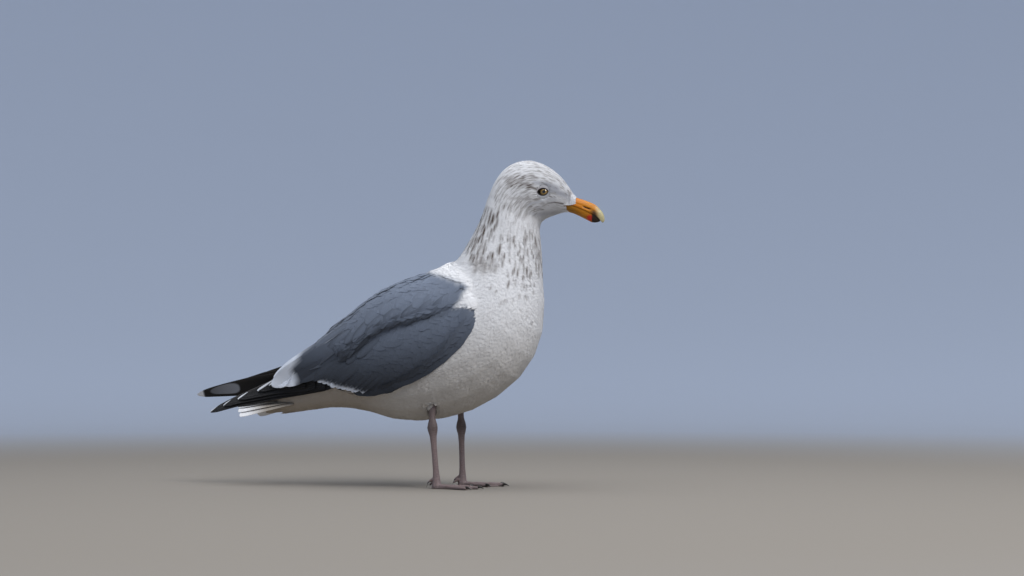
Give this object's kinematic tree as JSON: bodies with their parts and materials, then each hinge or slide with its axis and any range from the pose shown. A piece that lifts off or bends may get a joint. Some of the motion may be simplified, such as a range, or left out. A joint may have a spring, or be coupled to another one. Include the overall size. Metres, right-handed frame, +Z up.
{
  "type": "herring gull",
  "caption": "Standing seagull in winter plumage as a still life-size model: white streaked head and neck, grey folded wings, black wing tips, yellow bill, webbed pink feet.",
  "frame": {"origin": "on the ground, under the middle of the bird's length and width", "axes": "+X towards the bill, +Y to the bird's left, +Z up"},
  "size_m": [0.5604, 0.1386, 0.4165],
  "materials": {
    "body_plumage": "soft matt feathers over flesh, white with grey-brown streaks on head and neck",
    "rump_plumage": "soft matt white feathers",
    "grey_feathers": "smooth matt grey feathers with white tips on the hindmost",
    "black_feathers": "satin black feathers with white tips",
    "tail_feathers": "smooth matt white feathers",
    "leg_skin": "scaly pinkish grey skin, satin",
    "claw_horn": "dark horn, satin",
    "bill_horn": "yellow horn with a red spot, a dark band and a pale tip, satin",
    "eye_surface": "wet pale yellow iris with a dark pupil, glossy"
  },
  "bodies": {
    "root": {"head": "body_plumage", "neck": "body_plumage", "trunk": "body_plumage", "rump": "rump_plumage", "wing_right": "grey_feathers", "wing_left": "grey_feathers", "tertials_right": "grey_feathers", "tertials_left": "grey_feathers", "scapulars_right": "grey_feathers", "scapulars_left": "grey_feathers", "primary_right_1": "black_feathers", "primary_right_2": "black_feathers", "primary_right_3": "black_feathers", "primary_right_4": "black_feathers", "primary_right_5": "black_feathers", "primary_left_1": "black_feathers", "primary_left_2": "black_feathers", "primary_left_3": "black_feathers", "primary_left_4": "black_feathers", "primary_left_5": "black_feathers", "tail_middle": "tail_feathers", "tail_right_1": "tail_feathers", "tail_left_1": "tail_feathers", "tail_right_2": "tail_feathers", "tail_left_2": "tail_feathers", "tail_right_3": "tail_feathers", "tail_left_3": "tail_feathers", "tibia_right": "leg_skin", "tibia_left": "leg_skin", "shank_right": "leg_skin", "shank_left": "leg_skin", "foot_right": "leg_skin", "foot_left": "leg_skin", "claw_inner_right": "claw_horn", "claw_middle_right": "claw_horn", "claw_outer_right": "claw_horn", "claw_inner_left": "claw_horn", "claw_middle_left": "claw_horn", "claw_outer_left": "claw_horn", "bill_upper": "bill_horn", "bill_lower": "bill_horn", "eye_right": "eye_surface", "eye_left": "eye_surface"}
  },
  "joints": []
}
